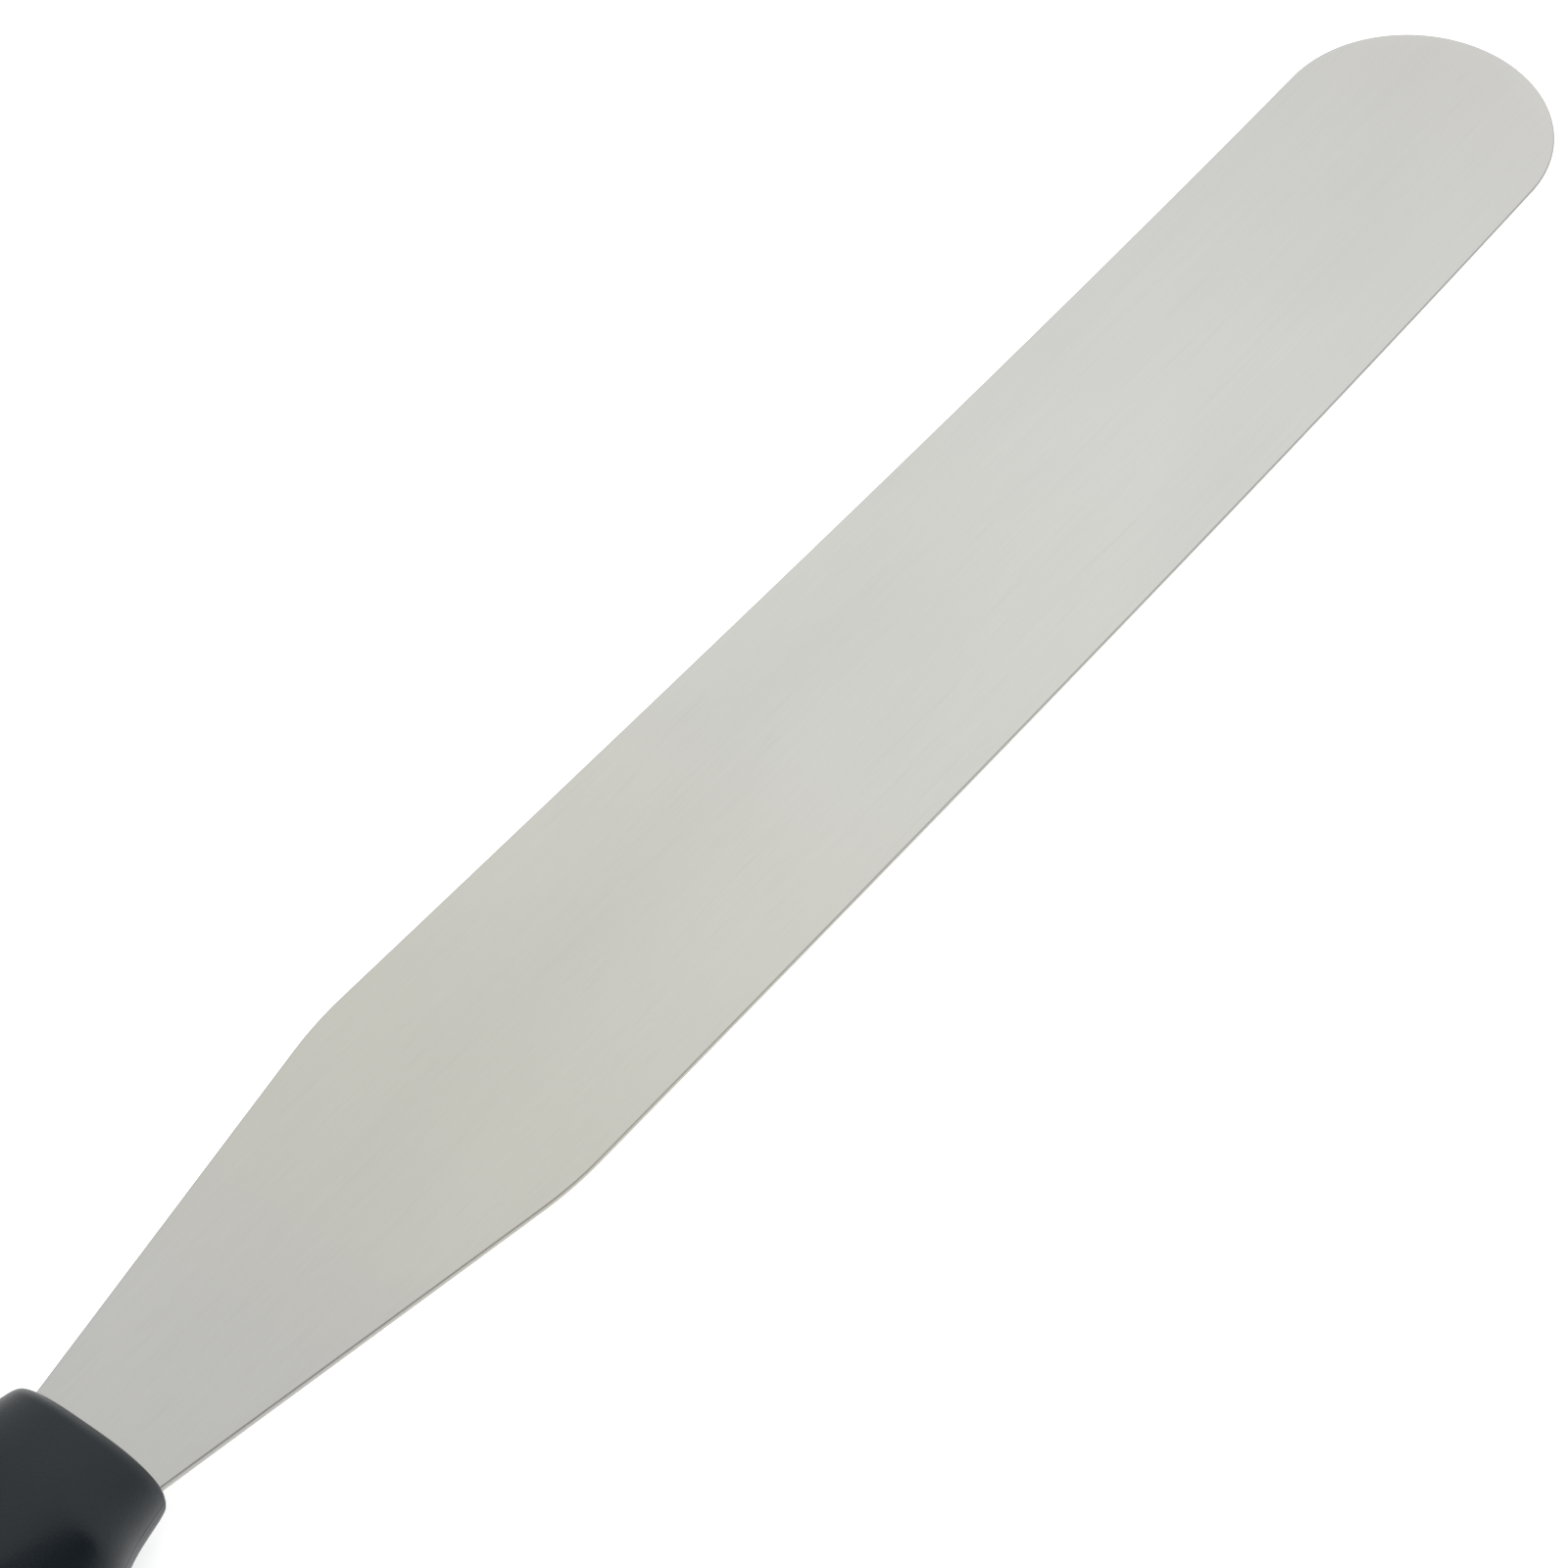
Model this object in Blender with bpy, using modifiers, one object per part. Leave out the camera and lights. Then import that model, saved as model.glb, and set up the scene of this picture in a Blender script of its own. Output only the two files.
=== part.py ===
"""A straight icing spatula: a thin, flexible, round-ended stainless blade whose tang is held in a moulded
handle. Metres, +X from the butt to the tip, +Z up. The tool lies as it comes to rest on a table: on the
underside of the handle and on the underside of the bowed blade, with the table at Z = 0."""

import bmesh
import bpy
import numpy as np

MM = 0.001
GAP = 0.3 * MM  # clearance between the tang and the plastic round it

# Blade, X measured from the line where it leaves the handle
BLADE_LENGTH = 254.0 * MM
SHOULDER_X = 51.6 * MM  # where the tapering neck meets the straight-sided blade
SHOULDER_RADIUS = 50.0 * MM
NECK_HALF = 8.9 * MM  # half-width at X = 0
SHOULDER_HALF = 17.6 * MM
TIP_HALF = 17.4 * MM  # half-width where the round end starts, and the radius of that end
NECK_THICKNESS = 1.0 * MM
TIP_THICKNESS = 0.4 * MM
BOW_RISE = 5.1 * MM  # how far the tip stands above the plane of the neck
BOW_START_X = 6.0 * MM
BOW_POWER = 3.45
TIP_LAST_TURN = 86.0  # degrees round the tip's arc to the last cross-section

# Tang, the hidden end of the same sheet
TANG_END_X = -86.0 * MM
TANG_STEP_X = -5.0 * MM  # the neck narrows to the tang between here and NECK_END_X
NECK_END_X = -3.2 * MM
TANG_FRONT_HALF = 6.6 * MM
TANG_END_HALF = 4.6 * MM
LOCK_HOLE_X = (-22.0 * MM, -48.0 * MM, -74.0 * MM)
LOCK_HOLE_RADIUS = 2.6 * MM
LOCK_CUTTER_HALF = 3.0 * MM
ROOM_END_X = 17.0 * MM  # the room for the tang is cut from in front of the handle

# Handle, S measured backwards from its front face
HANDLE_FRONT_X = -2.0 * MM
HANDLE_LENGTH = 124.0 * MM
HALF_WIDTHS = ((0, 9.9), (5, 10.9), (10, 12.5), (18, 14.0), (38, 11.7), (76, 14.0), (104, 12.6), (124, 10.6))
HALF_THICKNESSES = ((0, 5.8), (10, 7.0), (24, 7.7), (38, 8.5), (88, 8.5), (108, 7.8), (124, 6.8))
FRONT_CORNER = 0.4 * MM  # rounding of the front corners, seen from above
NOSE_ROUNDING = 1.8 * MM  # rounding of the front, seen from the side
BUTT_ROUNDING = 13.0 * MM
BUTT_LAST_TURN = 84.0  # degrees round the butt to the last cross-section
BUTT_FULLNESS = 0.7  # 1 closes the butt in thickness as it does in width, less keeps it fuller
RING_SPACING = 3.0 * MM
FLAT_SHARE = 0.1  # flat strip on the top and underside, as a share of the width
SECTION_POWER = 2.45  # 2 is an ellipse, more is squarer
SECTION_POINTS = 48
DISH_S = (10.0 * MM, 24.0 * MM, 29.0 * MM, 55.0 * MM)  # a finger dish starts, is deepest between, ends
DISH_DEPTH = 2.7 * MM
DISH_ANGLE = 42.0  # degrees round the section from the side, to the middle of the dish
DISH_REACH = 36.0  # degrees from the middle of the dish to its rim
HANG_HOLE_S = 110.0 * MM
HANG_HOLE_RADIUS = 4.75 * MM
HANG_CUTTER_HALF = 14.0 * MM
SHARP_ANGLE = 35.0  # degrees; edges that turn less are shaded smooth


def material(name, colour, roughness, metallic):
    made = bpy.data.materials.new(name)
    made.use_nodes = True
    shader = made.node_tree.nodes["Principled BSDF"]
    shader.inputs["Base Color"].default_value = (*colour, 1.0)
    shader.inputs["Roughness"].default_value = roughness
    shader.inputs["Metallic"].default_value = metallic
    return made


def new_object(name, bm, collection, look=None):
    mesh = bpy.data.meshes.new(name)
    bm.to_mesh(mesh)
    bm.free()
    made = bpy.data.objects.new(name, mesh)
    collection.objects.link(made)
    if look:
        mesh.materials.append(look)
    return made


def hide(cutter):
    cutter.hide_render = True
    cutter.display_type = "WIRE"


def cut(target, cutter):
    """Cuts the cutter's shape out of the target."""
    boolean = target.modifiers.new("cut_" + cutter.name, "BOOLEAN")
    boolean.operation = "DIFFERENCE"
    boolean.solver = "EXACT"
    boolean.object = cutter


def rod(name, x, radius, half_height, sides, collection):
    """An upright round cutter."""
    bm = bmesh.new()
    bmesh.ops.create_cone(
        bm, cap_ends=True, segments=sides, radius1=radius, radius2=radius, depth=2 * half_height
    )
    made = new_object(name, bm, collection)
    made.location.x = x
    hide(made)
    return made


def through(stations, at):
    """A smooth curve through (place, value) stations in millimetres that never swings past a value."""
    places, values = np.array(stations, float).T * MM
    rises = np.diff(values) / np.diff(places)
    slopes = np.zeros(len(places))
    same = rises[:-1] * rises[1:] > 0
    inner = np.zeros(len(same))
    inner[same] = 2 * rises[:-1][same] * rises[1:][same] / (rises[:-1][same] + rises[1:][same])
    slopes[1:-1] = inner
    slopes[0] = rises[0]
    slopes[-1] = rises[-1]
    i = np.clip(np.searchsorted(places, at) - 1, 0, len(places) - 2)
    step = places[i + 1] - places[i]
    u = (at - places[i]) / step
    return (
        values[i] * (1 + 2 * u) * (1 - u) ** 2
        + values[i + 1] * u**2 * (3 - 2 * u)
        + step * slopes[i] * u * (1 - u) ** 2
        - step * slopes[i + 1] * u**2 * (1 - u)
    )


# ---- Blade: one sheet, from the tip to the end of the tang ----


def blade_stations():
    """X of every cross-section, and the half-width there: tang, neck, shoulder arc, straight sides and
    round end."""
    rise = (SHOULDER_HALF - NECK_HALF) / SHOULDER_X
    tip_x = BLADE_LENGTH - TIP_HALF
    fall = (SHOULDER_HALF - TIP_HALF) / (tip_x - SHOULDER_X)
    lean = np.arctan(rise)
    tangent = SHOULDER_RADIUS * np.tan((lean + np.arctan(fall)) / 2)
    arc_start = SHOULDER_X - tangent * np.cos(lean)
    arc_end = SHOULDER_X + tangent
    centre_x = arc_start + SHOULDER_RADIUS * np.sin(lean)
    centre_y = SHOULDER_HALF - tangent * np.sin(lean) - SHOULDER_RADIUS * np.cos(lean)

    tang = np.linspace(TANG_END_X, TANG_STEP_X, 3)
    tang_half = np.linspace(TANG_END_HALF, TANG_FRONT_HALF, 3)
    neck = np.linspace(NECK_END_X, arc_start, 7)
    arc = np.linspace(arc_start, arc_end, 8)[1:-1]
    side = np.linspace(arc_end, tip_x, 20)
    turn = np.radians(np.linspace(0, TIP_LAST_TURN, 20))[1:]
    x = np.concatenate([tang, neck, arc, side, tip_x + TIP_HALF * np.sin(turn)])
    half = np.concatenate(
        [
            tang_half,
            NECK_HALF + rise * neck,
            centre_y + np.sqrt(SHOULDER_RADIUS**2 - (arc - centre_x) ** 2),
            SHOULDER_HALF - fall * (side - SHOULDER_X),
            TIP_HALF * np.cos(turn),
        ]
    )
    return x, half


def blade_bow(x):
    """Height of the middle of the sheet above the plane of the neck."""
    along = np.clip((x - BOW_START_X) / (BLADE_LENGTH - BOW_START_X), 0, None)
    return BOW_RISE * along**BOW_POWER


def blade_thickness(x):
    """The sheet is ground thinner from the neck to the tip."""
    along = np.clip(x / BLADE_LENGTH, 0, 1)
    return NECK_THICKNESS + (TIP_THICKNESS - NECK_THICKNESS) * along


def sheet(name, x, half, grow, collection, look=None):
    """A strip along the stations, given its thickness by Solidify."""
    bm = bmesh.new()
    bmesh.ops.create_grid(bm, x_segments=len(x) - 1, y_segments=1, size=1)
    weights = bm.verts.layers.deform.verify()
    thickest = NECK_THICKNESS + 2 * grow
    for vert in bm.verts:
        i = int(round((vert.co.x + 1) / 2 * (len(x) - 1)))
        vert.co = (x[i], np.sign(vert.co.y) * half[i], blade_bow(x[i]))
        vert[weights][0] = (blade_thickness(x[i]) + 2 * grow) / thickest
    made = new_object(name, bm, collection, look)
    made.vertex_groups.new(name="thickness")
    solid = made.modifiers.new("thickness", "SOLIDIFY")
    solid.thickness = thickest
    solid.offset = 0
    solid.vertex_group = "thickness"
    return made


def make_blade(parts, cutters, steel):
    x, half = blade_stations()
    blade = sheet("blade", x, half, 0.0, parts, steel)
    for n, hole_x in enumerate(LOCK_HOLE_X):
        cut(blade, rod(f"lock_hole_{n}", hole_x, LOCK_HOLE_RADIUS, LOCK_CUTTER_HALF, 24, cutters))
    return blade


# ---- Handle: one moulding, cast round the tang and through its lock holes ----


def handle_stations():
    """S of every cross-section, closer together where the ends are rounded, its two half-sizes and
    the depth of the finger dishes there."""
    nose = NOSE_ROUNDING * (1 - np.cos(np.linspace(0, np.pi / 2, 8)))
    body = np.arange(NOSE_ROUNDING + RING_SPACING / 2, HANDLE_LENGTH - BUTT_ROUNDING, RING_SPACING)
    turn = np.radians(np.linspace(0, BUTT_LAST_TURN, 10))
    butt = HANDLE_LENGTH - BUTT_ROUNDING * (1 - np.sin(turn))
    s = np.concatenate([nose, body, butt])

    def rounded_off(radius):
        return radius * (1 - np.sqrt(1 - np.clip(1 - s / radius, 0, 1) ** 2))

    past = np.clip((s - HANDLE_LENGTH + BUTT_ROUNDING) / BUTT_ROUNDING, 0, 1)
    closing = np.sqrt(1 - past**2)
    half_width = (through(HALF_WIDTHS, s) - rounded_off(FRONT_CORNER)) * closing
    half_thickness = (through(HALF_THICKNESSES, s) - rounded_off(NOSE_ROUNDING)) * closing**BUTT_FULLNESS
    start, deep, shallow, end = DISH_S
    fall = np.clip((s - start) / (deep - start), 0, 1)
    climb = np.clip((end - s) / (end - shallow), 0, 1)
    dish = DISH_DEPTH * fall * (2 - fall) * climb**2 * (3 - 2 * climb)
    return s, half_width, half_thickness, dish


def handle_ring(half_width, half_thickness, dish=0.0):
    """One cross-section: a soft-cornered oval with a flat strip on its top and on its underside, and a
    finger dish sunk into each of its four shoulders."""
    turn = (np.arange(SECTION_POINTS) + 0.5) * 2 * np.pi / SECTION_POINTS
    across = np.sign(np.cos(turn)) * np.abs(np.cos(turn)) ** (2 / SECTION_POWER)
    up = np.sign(np.sin(turn)) * np.abs(np.sin(turn)) ** (2 / SECTION_POWER)
    flat = FLAT_SHARE * np.sign(across)
    y = (flat + (1 - FLAT_SHARE) * across) * half_width
    z = up * half_thickness
    from_middle = np.degrees(np.arctan2(np.abs(up), np.abs(across))) - DISH_ANGLE
    share = np.cos(np.clip(from_middle / DISH_REACH, -1, 1) * np.pi / 2) ** 2
    keep = 1 - dish * share / np.hypot(y, z)
    return y * keep, z * keep


def make_handle(parts, cutters, plastic):
    bm = bmesh.new()
    rings = []
    for s, half_width, half_thickness, dish in zip(*handle_stations()):
        y, z = handle_ring(half_width, half_thickness, dish)
        rings.append([bm.verts.new((HANDLE_FRONT_X - s, *point)) for point in zip(y, z)])
    for ahead, behind in zip(rings, rings[1:]):
        for n in range(SECTION_POINTS):
            after = (n + 1) % SECTION_POINTS
            bm.faces.new((ahead[n], ahead[after], behind[after], behind[n]))
    bm.faces.new(rings[0][::-1])
    bm.faces.new(rings[-1])
    bmesh.ops.recalc_face_normals(bm, faces=bm.faces)
    handle = new_object("handle", bm, parts, plastic)

    # The room for the tang, which leaves a peg of plastic in each lock hole
    x, half = blade_stations()
    inside = x < ROOM_END_X
    x, half = x[inside].copy(), half[inside] + GAP
    x[0] -= GAP
    room = sheet("tang_room", x, half, GAP, cutters)
    hide(room)
    for n, hole_x in enumerate(LOCK_HOLE_X):
        cut(room, rod(f"peg_{n}", hole_x, LOCK_HOLE_RADIUS - GAP, LOCK_CUTTER_HALF, 24, cutters))
    cut(handle, room)
    hole_x = HANDLE_FRONT_X - HANG_HOLE_S
    cut(handle, rod("hang_hole", hole_x, HANG_HOLE_RADIUS, HANG_CUTTER_HALF, 32, cutters))
    return handle


# ---- The whole tool, laid on the table ----


def resting_slope():
    """Slope of the line that touches the undersides of the handle and of the blade."""
    s, _, half_thickness, _ = handle_stations()
    _, up = handle_ring(1.0, 1.0)
    handle_z = half_thickness * up.min()
    x, _ = blade_stations()
    blade_z = blade_bow(x) - blade_thickness(x) / 2
    ahead = x > SHOULDER_X
    rise = blade_z[ahead][:, None] - handle_z
    run = x[ahead][:, None] - (HANDLE_FRONT_X - s)
    return (rise / run).max(axis=1).min()


def corners(objects):
    """Lowest and highest corner of the finished shapes in world space."""
    bpy.context.view_layer.update()
    depsgraph = bpy.context.evaluated_depsgraph_get()
    points = []
    for made in objects:
        shown = made.evaluated_get(depsgraph)
        points += [shown.matrix_world @ vert.co for vert in shown.data.vertices]
    points = np.array(points)
    return points.min(axis=0), points.max(axis=0)


def main():
    for old in list(bpy.data.objects):
        bpy.data.objects.remove(old, do_unlink=True)
    parts = bpy.data.collections.new("icing_spatula")
    cutters = bpy.data.collections.new("cutters")
    for group in (parts, cutters):
        bpy.context.scene.collection.children.link(group)

    steel = material("stainless_steel", (0.60, 0.60, 0.57), 0.35, 1.0)
    plastic = material("black_plastic", (0.012, 0.014, 0.016), 0.45, 0.0)
    blade = make_blade(parts, cutters, steel)
    handle = make_handle(parts, cutters, plastic)
    for made in (blade, handle):
        made.data.shade_smooth()
        made.data.set_sharp_from_angle(angle=np.radians(SHARP_ANGLE))

    rest = bpy.data.objects.new("at_rest", None)
    parts.objects.link(rest)
    for made in (*parts.objects, *cutters.objects):
        if made != rest:
            made.parent = rest
    rest.rotation_euler.y = np.arctan(resting_slope())
    low, high = corners((blade, handle))
    rest.location = (-(low[0] + high[0]) / 2, -(low[1] + high[1]) / 2, -low[2])


main()
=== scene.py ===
import bmesh
import bpy
import numpy as np
from mathutils import Matrix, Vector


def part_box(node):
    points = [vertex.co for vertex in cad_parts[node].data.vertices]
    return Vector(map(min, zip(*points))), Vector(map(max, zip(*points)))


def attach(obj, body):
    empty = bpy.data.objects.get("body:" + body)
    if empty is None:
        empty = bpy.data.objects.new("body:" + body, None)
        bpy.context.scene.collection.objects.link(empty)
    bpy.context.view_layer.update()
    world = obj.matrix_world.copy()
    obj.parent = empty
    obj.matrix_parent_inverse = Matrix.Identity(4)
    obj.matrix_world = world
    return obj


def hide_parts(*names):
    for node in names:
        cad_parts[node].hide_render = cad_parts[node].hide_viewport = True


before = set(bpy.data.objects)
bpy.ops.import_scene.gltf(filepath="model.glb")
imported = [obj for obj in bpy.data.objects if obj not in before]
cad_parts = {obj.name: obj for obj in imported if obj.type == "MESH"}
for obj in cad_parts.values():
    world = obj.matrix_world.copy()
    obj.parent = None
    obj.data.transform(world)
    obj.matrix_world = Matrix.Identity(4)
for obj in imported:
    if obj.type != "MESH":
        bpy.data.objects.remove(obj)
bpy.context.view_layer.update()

# ---- Blade ----
# One strip of stainless spring steel, blanked to shape, ground thinner towards its round end, brushed along
# its length and bent up a little. It is worked out with its neck level, X forwards from a line 2 mm ahead of
# the handle and Z up from the middle of the sheet, and then laid down at the slope at which the tool rests.

MM = 0.001
BLADE_LENGTH = 254.0 * MM
SHOULDER_X = 51.6 * MM  # where the tapering neck would meet the straight sides
SHOULDER_RADIUS = 50.0 * MM
NECK_HALF = 8.9 * MM  # half-width at X = 0
SHOULDER_HALF = 17.6 * MM
TIP_HALF = 17.4 * MM  # half-width where the round end starts, and its radius
NECK_THICKNESS = 1.0 * MM
TIP_THICKNESS = 0.4 * MM
BOW_RISE = 5.1 * MM  # how far the tip stands above the plane of the neck
BOW_START_X = 6.0 * MM
BOW_POWER = 3.45
NECK_END_X = -3.2 * MM
TANG_STEP_X = -5.0 * MM
TANG_END_X = -86.0 * MM
TANG_FRONT_HALF = 6.6 * MM
TANG_END_HALF = 4.6 * MM
TANG_CORNER = 0.4 * MM
EDGE_ROUNDING = 0.17 * MM  # left by tumbling the blank
EDGE_MARGIN = 0.1 * MM  # of face between the rounding and the first row of points
EDGE_CROWDING = 1.8  # above 1, rows of points lie closer together towards the edge
DRESSING_WIDTH = 2.4 * MM  # the belt wears the sheet down a little along its edge
DRESSING_DEPTH = 0.06 * MM
RESTING_SLOPE = 0.0435  # radians, nose down
MERGE_DISTANCE = 0.002 * MM
FINE_LINES = (16, 5200, 5200)  # brush marks in a metre along, across and through the blade
BROAD_LINES = (9, 900, 900)
DEEP_LINES = (26, 2100, 2100)
BELT_CLOUDS = (16, 38, 38)
LOWER_EDGE_TURN = (-0.3, 0.2)  # how far down the surface faces where the rougher lower edge with its painted shade starts, and is full
UNDERSIDE_TURN = 0.97  # and where the edge ends and the underside starts
MAP_SCALE = 4.0  # one square of the flat map is a quarter of a metre
STEEL_COLOURS_WITH_PAINTED_SHADE = (  # share of the way to the tip, and the colour: painted shade, darker and warmer towards the neck and a little darker at the tip, standing in for how the light's reflection falls off along the blade
    (0.03, (0.572, 0.564, 0.538)),
    (0.20, (0.603, 0.588, 0.530)),
    (0.50, (0.632, 0.625, 0.585)),
    (0.75, (0.628, 0.628, 0.592)),
    (0.98, (0.590, 0.580, 0.552)),
)

neck_rise = (SHOULDER_HALF - NECK_HALF) / SHOULDER_X
tip_centre_x = BLADE_LENGTH - TIP_HALF
turn = np.array(Matrix.Rotation(RESTING_SLOPE, 3, "Y"))
blade_high = np.array(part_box("blade")[1])
tip_top = turn @ (BLADE_LENGTH, 0, BOW_RISE + TIP_THICKNESS / 2)
tang_top = turn @ (TANG_END_X, 0, NECK_THICKNESS / 2)
place = np.array((blade_high[0] - tip_top[0], 0, blade_high[2] - tang_top[2]))


def laid_down(points):
    """Points (..., 3) turned by the resting slope about Y, then moved so that the tool lies on the table."""
    return np.asarray(points) @ turn.T + place


def skin(name, points):
    """A closed mesh over a grid of points (rows, columns, 3): each row is a ring, each is joined to the next
    by quads, and points that fall together at a pole or a seam become one."""
    rows, columns = points.shape[:2]
    index = np.arange(rows * columns).reshape(rows, columns)
    beside = np.roll(index, -1, axis=1)
    quads = np.stack([index[:-1], beside[:-1], beside[1:], index[1:]], axis=-1).reshape(-1, 4)
    mesh = bpy.data.meshes.new(name)
    mesh.from_pydata(laid_down(points).reshape(-1, 3).tolist(), [], quads.tolist())
    bm = bmesh.new()
    bm.from_mesh(mesh)
    bmesh.ops.remove_doubles(bm, verts=bm.verts, dist=MERGE_DISTANCE)
    bmesh.ops.recalc_face_normals(bm, faces=bm.faces)
    bm.to_mesh(mesh)
    bm.free()
    mesh.shade_smooth()
    made = bpy.data.objects.new(name, mesh)
    bpy.context.scene.collection.objects.link(made)
    return made


def blade_plan():
    """Half of the blade's plan, from the middle of the tang's end round to the tip: x, y and the outward
    direction, the path's own direction turned a quarter. Straight lines, a shoulder arc that touches the
    neck's line and the side's line, and a quarter circle at the tip."""
    fall = (SHOULDER_HALF - TIP_HALF) / (tip_centre_x - SHOULDER_X)
    lean = np.arctan(neck_rise)
    reach = SHOULDER_RADIUS * np.tan((lean + np.arctan(fall)) / 2)
    arc = np.linspace(lean, -np.arctan(fall), 26)[1:-1]
    arc_start = SHOULDER_X - reach * np.cos(lean)
    centre_x = arc_start + SHOULDER_RADIUS * np.sin(lean)
    centre_y = SHOULDER_HALF - reach * np.sin(lean) - SHOULDER_RADIUS * np.cos(lean)
    end = np.linspace(0, TANG_END_HALF - TANG_CORNER, 6)
    tang = np.linspace(TANG_END_X + TANG_CORNER, TANG_STEP_X, 26)
    neck = np.linspace(NECK_END_X, arc_start, 24)
    side = np.linspace(SHOULDER_X + reach, tip_centre_x, 90)
    tip = np.radians(np.linspace(0, 90, 40))[1:]
    x = np.concatenate([
        np.full(6, TANG_END_X), tang, neck, centre_x - SHOULDER_RADIUS * np.sin(arc), side,
        tip_centre_x + TIP_HALF * np.sin(tip),
    ])
    y = np.concatenate([
        end, np.linspace(TANG_END_HALF, TANG_FRONT_HALF, 26), NECK_HALF + neck_rise * neck,
        centre_y + SHOULDER_RADIUS * np.cos(arc), SHOULDER_HALF - fall * (side - SHOULDER_X),
        TIP_HALF * np.cos(tip),
    ])
    out = np.stack([-np.gradient(y), np.gradient(x)])
    out[:, 0], out[:, -1] = (-1, 0), (1, 0)
    return x, y, out / np.hypot(*out)


def blade_grid():
    """Rows run from the middle of the top over the edge to the middle of the underside, columns follow the
    plan. On the faces a point is a share of the way from the spine to the edge; on the rounded edge it is
    inset by r (1 - sin a) and lies r (1 - cos a) below the face. Its height is that of the bow, plus or minus
    half of the thickness there, less the dressing of the edge."""
    x, y, out = blade_plan()
    spine = np.clip(x, TANG_END_X + TANG_END_HALF, tip_centre_x)
    round_off = np.radians([22.5, 45, 67.5, 90])
    share = 1 - (1 - np.linspace(0, 1, 15)) ** EDGE_CROWDING
    inset = np.full(15, EDGE_ROUNDING + EDGE_MARGIN)
    top = np.stack([
        np.concatenate([share, np.ones(5)]),
        np.concatenate([inset, [EDGE_ROUNDING], EDGE_ROUNDING * (1 - np.sin(round_off))]),
        np.ones(20),
        np.concatenate([np.zeros(16), EDGE_ROUNDING * (1 - np.cos(round_off))]),
    ])
    wall = np.array([[1.0, 1.0], [0.0, 0.0], [0.3, -0.3], [EDGE_ROUNDING, EDGE_ROUNDING]])
    under = top[:, ::-1] * np.array([[1], [1], [-1], [1]])
    share, inset, side, fall = np.concatenate([top, wall, under], axis=1)[:, :, None]
    px = spine + (x - out[0] * inset - spine) * share
    py = (y - out[1] * inset) * share
    from_edge = np.hypot(x - px, y - py)
    dressed = DRESSING_DEPTH * np.clip(1 - from_edge / DRESSING_WIDTH, 0, 1) ** 2
    bow = BOW_RISE * np.clip((px - BOW_START_X) / (BLADE_LENGTH - BOW_START_X), 0, None) ** BOW_POWER
    thickness = NECK_THICKNESS + (TIP_THICKNESS - NECK_THICKNESS) * np.clip(px / BLADE_LENGTH, 0, 1)
    half = np.stack([px, py, bow + side * (thickness / 2 - fall - dressed)], axis=-1)
    other = half[:, -2:0:-1] * (1, -1, 1)
    return np.concatenate([half, other], axis=1)


def add_node(tree, kind, values=(), **settings):
    """A shader node with its settings, each named input set to a value or linked to another node's output."""
    made = tree.nodes.new(kind)
    for name, value in settings.items():
        setattr(made, name, value)
    for name, value in dict(values).items():
        if isinstance(value, bpy.types.NodeSocket):
            tree.links.new(value, made.inputs[name])
        else:
            made.inputs[name].default_value = value
    return made


def start_material(name):
    """An empty node material, with its surface shader and Object coordinates."""
    made = bpy.data.materials.new(name)
    made.use_nodes = True
    tree = made.node_tree
    return made, tree, tree.nodes["Principled BSDF"], add_node(tree, "ShaderNodeTexCoord").outputs["Object"]


def stretched_noise(tree, coordinates, scale, detail=3.0, rough=0.55):
    """Noise whose grain is 1 / scale metres long in each direction."""
    placed = add_node(tree, "ShaderNodeMapping", {"Vector": coordinates, "Scale": scale})
    return add_node(
        tree, "ShaderNodeTexNoise",
        {"Vector": placed.outputs[0], "Scale": 1.0, "Detail": detail, "Roughness": rough},
    ).outputs["Fac"]


def between(tree, value, low, high, start=0.0, end=1.0, smooth=True):
    """value taken from start..end to low..high."""
    return add_node(
        tree, "ShaderNodeMapRange",
        {"Value": value, "From Min": start, "From Max": end, "To Min": low, "To Max": high},
        interpolation_type="SMOOTHSTEP" if smooth else "LINEAR",
    ).outputs["Result"]


def times(tree, first, second):
    return add_node(tree, "ShaderNodeMath", {0: first, 1: second}, operation="MULTIPLY").outputs[0]


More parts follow.
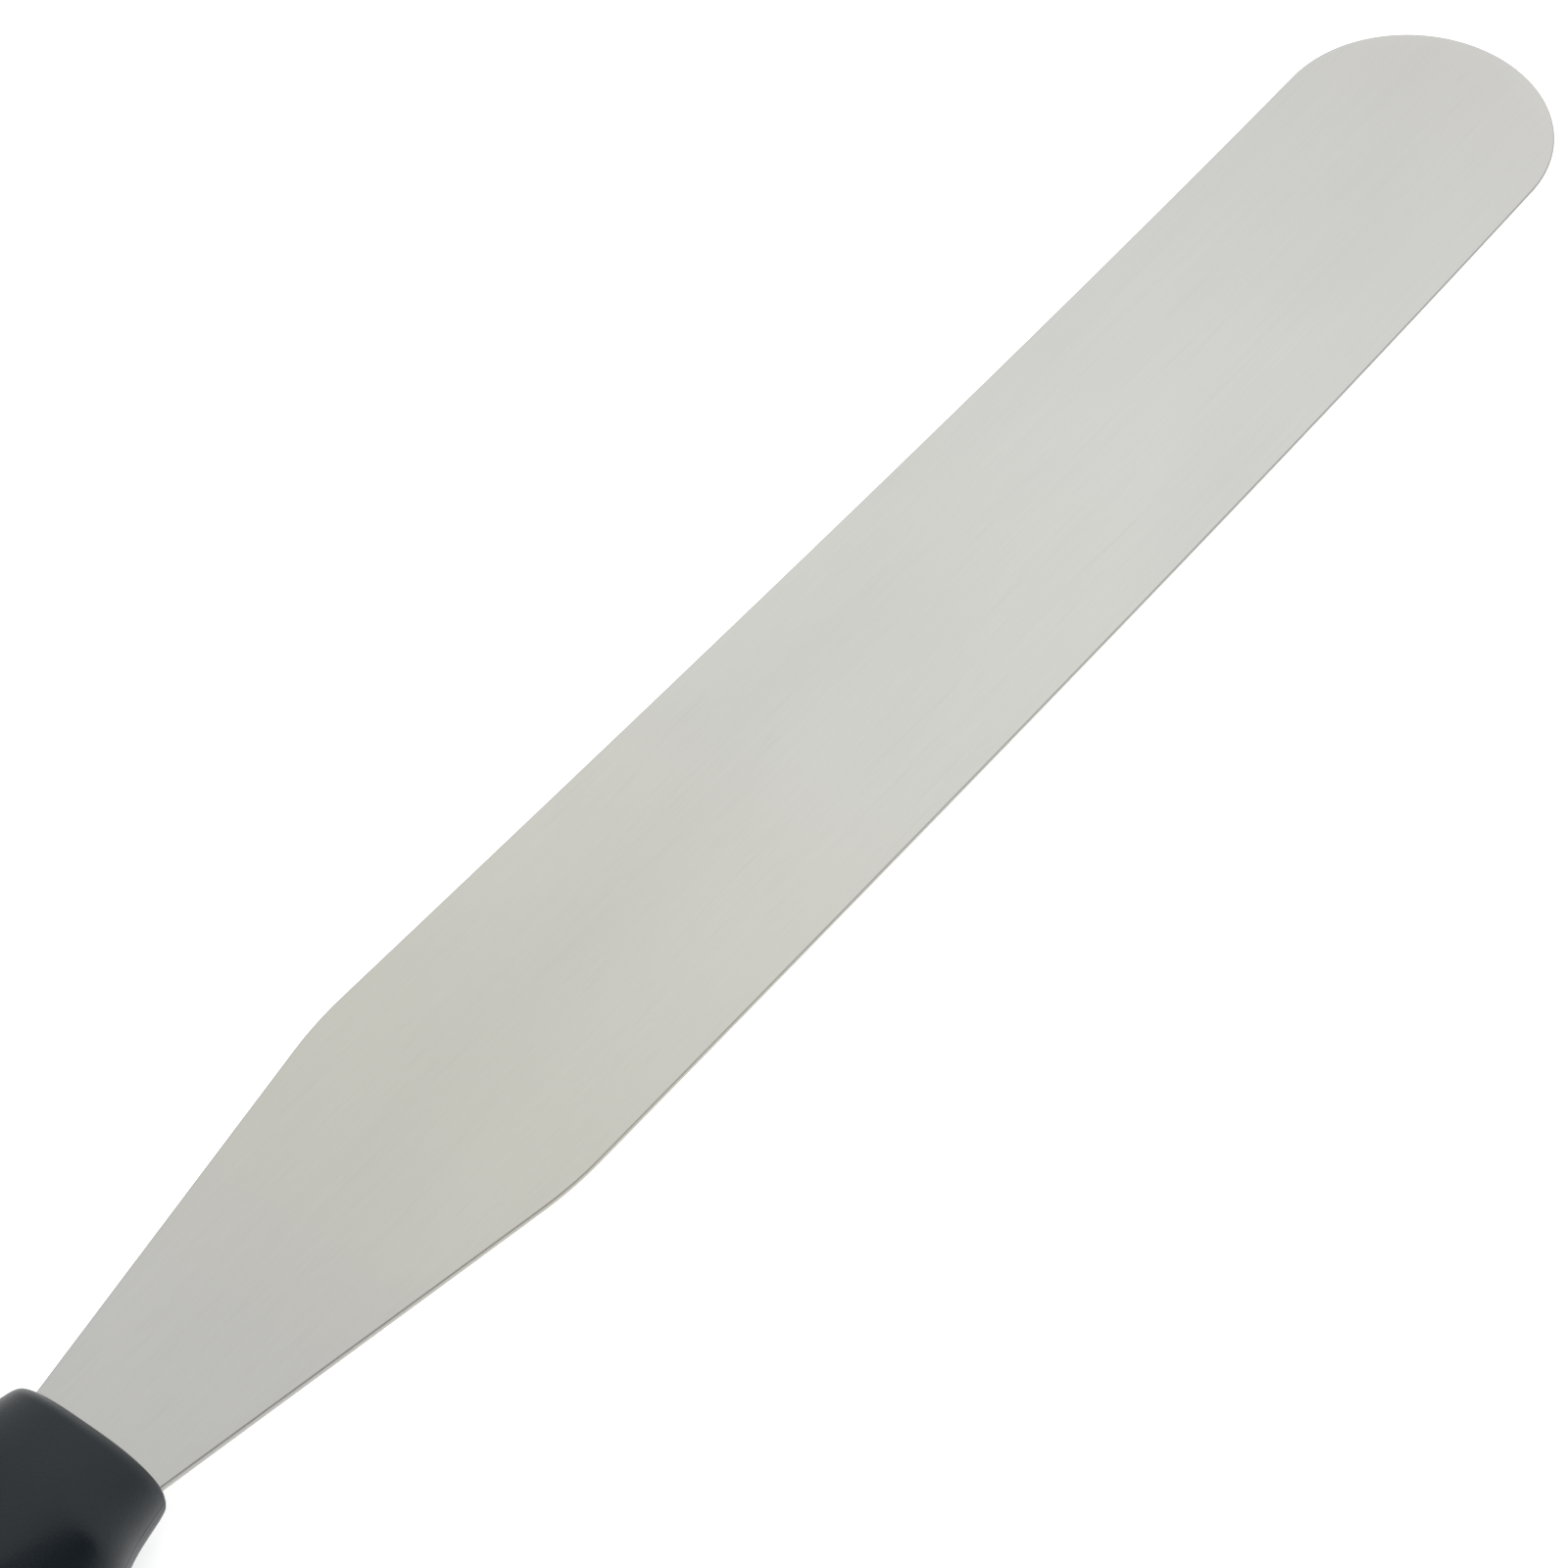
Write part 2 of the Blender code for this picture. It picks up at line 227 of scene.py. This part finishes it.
def brushed_steel():
    """Stainless steel brushed lengthways: fine lines a fraction of a millimetre wide and centimetres long, a
    few deeper ones, a cloudy unevenness from the belt, painted shade darker towards the neck, and a rougher
    lower edge whose colour is darkened as painted shade."""
    steel, tree, shader, position = start_material("brushed_steel")
    fine = stretched_noise(tree, position, FINE_LINES, detail=4)
    broad = stretched_noise(tree, position, BROAD_LINES, detail=3)
    cloud = stretched_noise(tree, position, BELT_CLOUDS, detail=2)
    deep = between(tree, stretched_noise(tree, position, DEEP_LINES, detail=1), 1.0, 0.98, 0.64, 0.72)
    tone = times(tree, between(tree, fine, 0.985, 1.015, 0.3, 0.7, False), deep)
    tone = times(tree, tone, between(tree, broad, 0.99, 1.01, 0.3, 0.7, False))
    tone = times(tree, tone, between(tree, cloud, 0.97, 1.02, 0.3, 0.7))
    rim = add_node(tree, "ShaderNodeAttribute", attribute_name="rim").outputs["Fac"]
    # Painted shade: the colour of the edge faces that turn sideways and down is darkened to 0.7.
    tone = times(tree, tone, between(tree, rim, 1.0, 0.7))
    # Painted shade along the blade: the colour ramp below darkens the steel towards the neck and a little at
    # the tip.
    forwards = add_node(tree, "ShaderNodeSeparateXYZ", {0: position}).outputs["X"]
    along = between(tree, forwards, 0.0, 1.0, float(place[0]), float(place[0] + BLADE_LENGTH), False)
    ramp = add_node(tree, "ShaderNodeValToRGB", {0: along})
    ramp.color_ramp.interpolation = "EASE"
    while len(ramp.color_ramp.elements) < len(STEEL_COLOURS_WITH_PAINTED_SHADE):
        ramp.color_ramp.elements.new(0.5)
    for stop, (share, tint) in zip(ramp.color_ramp.elements, STEEL_COLOURS_WITH_PAINTED_SHADE):
        stop.position, stop.color = share, (*tint, 1.0)
    colour = add_node(tree, "ShaderNodeVectorMath", {0: ramp.outputs["Color"]}, operation="SCALE")
    tree.links.new(tone, colour.inputs["Scale"])
    tree.links.new(colour.outputs[0], shader.inputs["Base Color"])
    rough = add_node(
        tree, "ShaderNodeMath",
        {0: between(tree, cloud, 0.31, 0.37), 1: between(tree, rim, 0.0, 0.16)}, operation="ADD",
    ).outputs[0]
    rough = add_node(
        tree, "ShaderNodeMath", {0: rough, 1: between(tree, broad, -0.01, 0.01, 0.3, 0.7)}, operation="ADD"
    ).outputs[0]
    tree.links.new(rough, shader.inputs["Roughness"])
    height = add_node(tree, "ShaderNodeMath", {0: fine, 1: deep}, operation="ADD").outputs[0]
    bump = add_node(tree, "ShaderNodeBump", {"Height": height, "Strength": 0.2, "Distance": 0.004 * MM})
    tree.links.new(bump.outputs[0], shader.inputs["Normal"])
    across = add_node(tree, "ShaderNodeTangent", direction_type="UV_MAP", uv_map="across")
    tree.links.new(across.outputs[0], shader.inputs["Tangent"])
    shader.inputs["Metallic"].default_value = 1.0
    shader.inputs["Anisotropic"].default_value = 0.5
    return steel


blade = skin("icing_blade", blade_grid())
mesh = blade.data
normals = np.zeros(len(mesh.vertices) * 3)
mesh.vertices.foreach_get("normal", normals)
# The edge faces that turn sideways and down are marked in the rim attribute: the shader makes them rougher
# and darkens their colour as painted shade.
downward = -normals.reshape(-1, 3)[:, 2]
edge_start, edge_full = LOWER_EDGE_TURN
rough_and_shaded_edge = np.clip((downward - edge_start) / (edge_full - edge_start), 0, 1) * (downward < UNDERSIDE_TURN)
mesh.attributes.new("rim", "FLOAT", "POINT").data.foreach_set("value", rough_and_shaded_edge)
spots = np.zeros(len(mesh.vertices) * 3)
mesh.vertices.foreach_get("co", spots)
spots = spots.reshape(-1, 3)
corner = np.zeros(len(mesh.loops), int)
mesh.loops.foreach_get("vertex_index", corner)
flat_map = np.stack([spots[:, 1] + spots[:, 2], spots[:, 0]], axis=-1) * MAP_SCALE + 0.5
mesh.uv_layers.new(name="across").data.foreach_set("uv", flat_map[corner].ravel())
mesh.materials.append(brushed_steel())
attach(blade, "root")
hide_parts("blade")

# ---- Handle ----
# One moulding in black plastic, cast round the tang: waisted behind a wider front, with a finger dish in each
# of its four shoulders, a palm swell, a round butt, a hanging hole and a fine parting line along its sides.

HANDLE_FRONT_X = -2.0 * MM
HANDLE_LENGTH = 124.0 * MM
HALF_WIDTHS = ((0, 9.9), (5, 10.9), (10, 12.5), (18, 14.0), (38, 11.7), (76, 14.0), (104, 12.6), (124, 10.6))
HALF_THICKNESSES = ((0, 5.8), (10, 7.0), (24, 7.7), (38, 8.5), (88, 8.5), (108, 7.8), (124, 6.8))
FRONT_CORNER = 0.4 * MM
NOSE_ROUNDING = 1.8 * MM
BUTT_ROUNDING = 13.0 * MM
BUTT_FULLNESS = 0.7  # 1 closes the butt in thickness as it does in width
FLAT_SHARE = 0.1  # flat strip on the top and underside, as a share of the width
SECTION_POWER = 2.45
DISH_S = (10.0 * MM, 24.0 * MM, 29.0 * MM, 55.0 * MM)
DISH_DEPTH = 2.7 * MM
DISH_ANGLE = 42.0
DISH_REACH = 36.0
HANG_HOLE_S = 110.0 * MM
HANG_HOLE_RADIUS = 4.75 * MM
HANG_RIM = 0.9 * MM  # rounding of the hanging hole's rim
TANG_CLEARANCE = 0.03 * MM
PARTING_RIDGE = 0.025 * MM
RIDGE_HALF_ANGLE = 0.35  # degrees round the handle from the ridge's crest to its foot
RIDGE_FADE = 4.0 * MM  # half-width of the handle below which the ridge fades out
POCKET_LIP = 0.12 * MM
BODY_START_S = 3.3 * MM  # rings lie evenly from here to the butt
RING_SPACING = 0.9 * MM
POINTS_ROUND = 160
CUTTER_POINTS = 96
CUTTER_FLARE = 0.8 * MM  # how far the hole's cutter runs out sideways above the surface
CUTTER_OVERSHOOT = 1.6 * MM
MOULD_GRAIN = (3200, 3200, 3200)  # grains in a metre along, across and through the handle
MOULD_SWELL = (260, 260, 260)
GLOSS_CLOUDS = (34, 60, 60)
RUB_MARKS = (60, 1500, 900)


def through(stations, at):
    """A smooth curve through (place, value) stations in millimetres: cubics whose slope at a station is the
    harmonic mean of the slopes on its two sides, or level at a peak or dip."""
    places, values = np.array(stations, float).T * MM
    rises = np.diff(values) / np.diff(places)
    product, total = rises[:-1] * rises[1:], rises[:-1] + rises[1:]
    inner = np.where(product > 0, 2 * product / np.where(product > 0, total, 1), 0)
    slopes = np.concatenate([rises[:1], inner, rises[-1:]])
    i = np.clip(np.searchsorted(places, at) - 1, 0, len(places) - 2)
    step = places[i + 1] - places[i]
    u = (at - places[i]) / step
    return (
        values[i] * (1 + 2 * u) * (1 - u) ** 2
        + values[i + 1] * u**2 * (3 - 2 * u)
        + step * slopes[i] * u * (1 - u) ** 2
        - step * slopes[i + 1] * u**2 * (1 - u)
    )


def handle_sizes(s):
    """Half-width, half-thickness and depth of the finger dishes at s behind the front face. The front is
    rounded by a quarter circle, the butt by a quarter ellipse. A dish falls by a parabola and climbs by a
    smooth step."""
    past = np.clip((s - HANDLE_LENGTH + BUTT_ROUNDING) / BUTT_ROUNDING, 0, 1)
    closing = np.sqrt(1 - past**2)

    def rounded_off(radius):
        return radius * (1 - np.sqrt(1 - np.clip(1 - s / radius, 0, 1) ** 2))

    half_width = (through(HALF_WIDTHS, s) - rounded_off(FRONT_CORNER)) * closing
    half_thickness = (through(HALF_THICKNESSES, s) - rounded_off(NOSE_ROUNDING)) * closing**BUTT_FULLNESS
    start, deep, shallow, end = DISH_S
    fall = np.clip((s - start) / (deep - start), 0, 1)
    climb = np.clip((end - s) / (end - shallow), 0, 1)
    return half_width, half_thickness, DISH_DEPTH * fall * (2 - fall) * climb**2 * (3 - 2 * climb)


def handle_grid():
    """Rings from the closed end of the tang's pocket forwards to its mouth, over the front face, and back
    along the outside to the butt. An outside ring is a superellipse with a flat strip, scaled down in the
    dishes by a squared cosine round the section. A pocket ring is a square stretched to fit the tang."""
    even = np.arange(POINTS_ROUND) * 360 / POINTS_ROUND
    feet = np.array([0, 180, 180, 360]) + RIDGE_HALF_ANGLE * np.array([1, -1, 1, -1])
    angle = np.radians(np.sort(np.concatenate([even, feet])))
    cos, sin = np.round(np.cos(angle), 12), np.round(np.sin(angle), 12)
    nose = NOSE_ROUNDING * (1 - np.cos(np.linspace(0, np.pi / 2, 16)))
    body = np.arange(BODY_START_S, HANDLE_LENGTH - BUTT_ROUNDING, RING_SPACING)
    butt = HANDLE_LENGTH - BUTT_ROUNDING + BUTT_ROUNDING * np.sin(np.radians(np.linspace(0, 90, 30)))
    s = np.concatenate([nose, body, butt])[:, None]
    half_width, half_thickness, dish = handle_sizes(s)
    across = np.sign(cos) * np.abs(cos) ** (2 / SECTION_POWER)
    up = np.sign(sin) * np.abs(sin) ** (2 / SECTION_POWER)
    y = (FLAT_SHARE * np.sign(cos) + (1 - FLAT_SHARE) * across) * half_width
    z = up * half_thickness
    from_middle = np.degrees(np.arctan2(np.abs(up), np.abs(across))) - DISH_ANGLE
    window = np.cos(np.clip(from_middle / DISH_REACH, -1, 1) * np.pi / 2) ** 2
    size = np.maximum(np.hypot(y, z), 1e-9)
    ridge = PARTING_RIDGE * (sin == 0) * np.clip(half_width / RIDGE_FADE, 0, 1)
    keep = 1 + (ridge - dish * window) / size
    outside = np.stack([np.broadcast_to(HANDLE_FRONT_X - s, y.shape), y * keep, z * keep], axis=-1)

    square = np.stack([cos, sin]) / np.maximum(np.abs(cos), np.abs(sin))
    tang = np.array([TANG_END_X, TANG_STEP_X, NECK_END_X, HANDLE_FRONT_X - POCKET_LIP, HANDLE_FRONT_X])
    tang_half = np.array([TANG_END_HALF, TANG_FRONT_HALF, NECK_HALF + neck_rise * NECK_END_X,
                          NECK_HALF + neck_rise * HANDLE_FRONT_X, NECK_HALF + neck_rise * HANDLE_FRONT_X])
    lip = np.array([0, 0, 0, 0, POCKET_LIP])
    pocket = np.stack([
        np.broadcast_to(tang[:, None] - TANG_CLEARANCE * (tang[:, None] == TANG_END_X), (5, len(angle))),
        square[0] * (tang_half + TANG_CLEARANCE + lip)[:, None],
        square[1] * (NECK_THICKNESS / 2 + TANG_CLEARANCE + lip)[:, None],
    ], axis=-1)
    pole = pocket[:1] * (1, 0, 0)
    return np.concatenate([pole, pocket, outside])


def hang_cutter_grid():
    """A bar through the handle that flares at both ends to the crowned surface, so that it leaves a rounded
    rim: at each angle the flare is r (1 - cos a) wide and starts r below the surface's own height there."""
    round_it = np.linspace(0, 2 * np.pi, CUTTER_POINTS, endpoint=False)
    rim_radius = HANG_HOLE_RADIUS + HANG_RIM
    s = HANG_HOLE_S - rim_radius * np.cos(round_it)
    half_width, half_thickness, _ = handle_sizes(s)
    from_middle = np.abs(rim_radius * np.sin(round_it)) / half_width
    share = np.clip(from_middle - FLAT_SHARE, 0, None) / (1 - FLAT_SHARE)
    crown = half_thickness * (1 - share**SECTION_POWER) ** (1 / SECTION_POWER)
    bend = np.radians(np.linspace(0, 80, 7))[:, None]
    radius = HANG_HOLE_RADIUS + HANG_RIM * (1 - np.cos(bend))
    height = crown - HANG_RIM * (1 - np.sin(bend))
    radius = np.concatenate([radius, [[rim_radius + CUTTER_FLARE]], [[0.0]]])
    above = crown + CUTTER_OVERSHOOT
    height = np.concatenate([height, above[None], np.full((1, CUTTER_POINTS), above.max())])
    radius = np.concatenate([radius[::-1], radius])
    height = np.concatenate([height[::-1], -height])
    x = HANDLE_FRONT_X - HANG_HOLE_S + radius * np.cos(round_it)
    return np.stack([x, radius * np.sin(round_it), height], axis=-1)


def black_plastic():
    """Nearly black polypropylene with the fine grain of a spark-eroded mould: an even eggshell bump, gloss
    that changes a little from place to place, and a few faint rubbed marks along the grip."""
    plastic, tree, shader, position = start_material("black_plastic")
    grain = stretched_noise(tree, position, MOULD_GRAIN, detail=2)
    swell = stretched_noise(tree, position, MOULD_SWELL, detail=2)
    cloud = stretched_noise(tree, position, GLOSS_CLOUDS, detail=3)
    rub = between(tree, stretched_noise(tree, position, RUB_MARKS, detail=2), 0.0, 1.0, 0.62, 0.74)
    tone = times(tree, between(tree, cloud, 0.88, 1.12, 0.3, 0.7), between(tree, grain, 0.85, 1.15, 0.3, 0.7))
    colour = add_node(tree, "ShaderNodeVectorMath", {0: (0.0016, 0.0065, 0.0105)}, operation="SCALE")
    tree.links.new(tone, colour.inputs["Scale"])
    tree.links.new(colour.outputs[0], shader.inputs["Base Color"])
    rough = add_node(
        tree, "ShaderNodeMath",
        {0: between(tree, cloud, 0.34, 0.40, 0.3, 0.7), 1: between(tree, rub, 0.0, -0.04)}, operation="ADD",
    ).outputs[0]
    tree.links.new(rough, shader.inputs["Roughness"])
    swell = times(tree, swell, 0.5)
    height = add_node(tree, "ShaderNodeMath", {0: swell, 1: grain}, operation="ADD").outputs[0]
    bump = add_node(tree, "ShaderNodeBump", {"Height": height, "Strength": 0.8, "Distance": 0.02 * MM})
    tree.links.new(bump.outputs[0], shader.inputs["Normal"])
    shader.inputs["Specular IOR Level"].default_value = 0.38
    return plastic


handle = skin("grip_handle", handle_grid())
hang_cutter = skin("hang_cutter", hang_cutter_grid())
hole = handle.modifiers.new("hanging_hole", "BOOLEAN")
hole.operation = "DIFFERENCE"
hole.solver = "EXACT"
hole.object = hang_cutter
handle_shape = bpy.data.meshes.new_from_object(handle.evaluated_get(bpy.context.evaluated_depsgraph_get()))
handle.modifiers.clear()
handle.data = handle_shape
bpy.data.objects.remove(hang_cutter)
handle_shape.shade_smooth()
handle_shape.materials.clear()
handle_shape.materials.append(black_plastic())
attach(handle, "root")
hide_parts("handle")

# ---- Table, light and camera ----
# A plain white table, under a soft sky of studio light that is a little brighter ahead of the tip and has one
# dark patch high above the blade's right side. The camera looks down over the butt along the blade.

TABLE_HALF = 6.0
TABLE_DROP = 0.02 * MM  # keeps the table's face clear of the handle's
DARK_DIRECTION = (0.050, -0.620, 0.783)
DARK_PATCH = (0.86, 0.955)  # cosine of the angle from its middle, at its rim and where it is darkest
BRIGHTER_AHEAD = (0.2, 0.7)  # forward share of a direction where the sky starts to brighten, and is brightest
LENS = 114.49
CAMERA_SPOT = (-177.12 * MM, -220.86 * MM, 413.60 * MM)  # from the line where the blade leaves the handle
CAMERA_BACK = (-0.520537, -0.400451, 0.754109)
CAMERA_RIGHT = (0.608796, -0.793326, -0.001044)

table_mesh = bpy.data.meshes.new("table")
corners = np.array(((-1, -1, 0), (1, -1, 0), (1, 1, 0), (-1, 1, 0))) * TABLE_HALF - (0, 0, TABLE_DROP)
table_mesh.from_pydata(corners.tolist(), [], [(0, 1, 2, 3)])
table = bpy.data.objects.new("table", table_mesh)
bpy.context.scene.collection.objects.link(table)
table_white = bpy.data.materials.new("table_white")
table_white.use_nodes = True
white = table_white.node_tree.nodes["Principled BSDF"]
white.inputs["Base Color"].default_value = (0.92, 0.92, 0.92, 1.0)
white.inputs["Roughness"].default_value = 0.9
white.inputs["Specular IOR Level"].default_value = 0.1
white.inputs["Emission Color"].default_value = (1.0, 1.0, 1.0, 1.0)
white.inputs["Emission Strength"].default_value = 0.65
table_mesh.materials.append(table_white)

sky = bpy.data.worlds.new("studio")
bpy.context.scene.world = sky
sky.use_nodes = True
sky_tree = sky.node_tree
direction = add_node(sky_tree, "ShaderNodeTexCoord").outputs["Generated"]
ahead = add_node(sky_tree, "ShaderNodeSeparateXYZ", {0: direction}).outputs["X"]
towards_dark = add_node(
    sky_tree, "ShaderNodeVectorMath", {0: direction, 1: DARK_DIRECTION}, operation="DOT_PRODUCT"
).outputs["Value"]
sky_light = times(
    sky_tree,
    between(sky_tree, ahead, 0.84, 1.12, *BRIGHTER_AHEAD),
    between(sky_tree, towards_dark, 1.0, 0.05, *DARK_PATCH),
)
sky_tree.nodes["Background"].inputs["Color"].default_value = (0.985, 0.995, 1.0, 1.0)
sky_tree.links.new(sky_light, sky_tree.nodes["Background"].inputs["Strength"])

camera_data = bpy.data.cameras.new("camera")
camera_data.lens = LENS
camera_data.sensor_width = 36.0
camera_data.clip_start = 0.01
camera = bpy.data.objects.new("camera", camera_data)
bpy.context.scene.collection.objects.link(camera)
right = turn @ CAMERA_RIGHT
back = turn @ CAMERA_BACK
camera_axes = np.stack([right, np.cross(back, right), back], axis=1)
camera.matrix_world = Matrix.Translation(laid_down(CAMERA_SPOT)) @ Matrix(camera_axes.tolist()).to_4x4()
bpy.context.scene.camera = camera
bpy.context.scene.view_settings.view_transform = "Standard"

bpy.context.view_layer.update()
